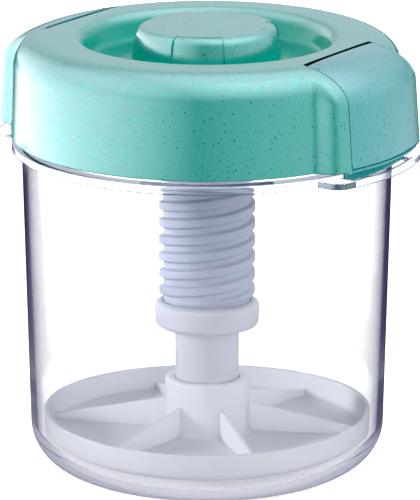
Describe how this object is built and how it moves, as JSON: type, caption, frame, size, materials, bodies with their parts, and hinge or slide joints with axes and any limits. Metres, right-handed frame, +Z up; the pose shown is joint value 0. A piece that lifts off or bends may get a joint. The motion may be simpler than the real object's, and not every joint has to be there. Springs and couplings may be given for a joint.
{
  "type": "pickle press",
  "caption": "Round clear jar with a mint lid held by two hinged side clips; a knob turns a hollow screw that pushes a sprung press plate down into the jar",
  "frame": {"origin": "on the jar's axis, in the plane that it stands on", "axes": "+Z is up along the jar's axis and the screw, and the two clips lie on +X and -X"},
  "size_m": [0.176, 0.1586, 0.1815],
  "materials": {
    "clear_plastic": "clear, glossy, with faint blue edges",
    "lid_plastic": "satin mint with fine darker specks",
    "clip_plastic": "satin mint, slightly bluer, with fine darker specks",
    "knob_plastic": "satin mint with fine darker specks",
    "press_plastic": "milky white, slightly translucent",
    "spring_steel": "plain stainless wire"
  },
  "bodies": {
    "container": {"jar": "clear_plastic"},
    "lid": {"lid": "lid_plastic"},
    "clip_right": {"clip_right": "clip_plastic"},
    "clip_left": {"clip_left": "clip_plastic"},
    "spring_set": {"spring_washer": "spring_steel", "pressure_spring": "spring_steel"},
    "screw": {"press_screw": "press_plastic", "knob": "knob_plastic", "collar": "press_plastic"},
    "press": {"press_stem": "press_plastic", "press_plate": "press_plastic"}
  },
  "joints": [
    {"name": "lid_lift", "type": "slide", "parent": "container", "child": "lid", "axis": [0, 0, 1], "range_m": [0, 0.16]},
    {"name": "clip_right_swing", "type": "hinge", "parent": "lid", "child": "clip_right", "pos_m": [0.066, 0, 0.1735], "axis": [0, -1, 0], "range_deg": [0, 60]},
    {"name": "clip_left_swing", "type": "hinge", "parent": "lid", "child": "clip_left", "pos_m": [-0.066, 0, 0.1735], "axis": [0, 1, 0], "range_deg": [0, 60]},
    {"name": "screw_feed", "type": "slide", "parent": "lid", "child": "spring_set", "axis": [0, 0, 1], "range_m": [0, 0.0667]},
    {"name": "knob_turn", "type": "hinge", "parent": "spring_set", "child": "screw", "pos_m": [0, 0, 0.1691], "axis": [0, 0, 1], "range_deg": [0, 1620]},
    {"name": "plate_travel", "type": "slide", "parent": "spring_set", "child": "press", "axis": [0, 0, 1], "range_m": [0, 0.022], "stiffness_N_per_m": 400, "springref_m": -0.02, "deforming": ["pressure_spring"]}
  ],
  "couplings": [
    {"joint": "screw_feed", "follows": "knob_turn", "m_per_rad": 0.0023555}
  ]
}
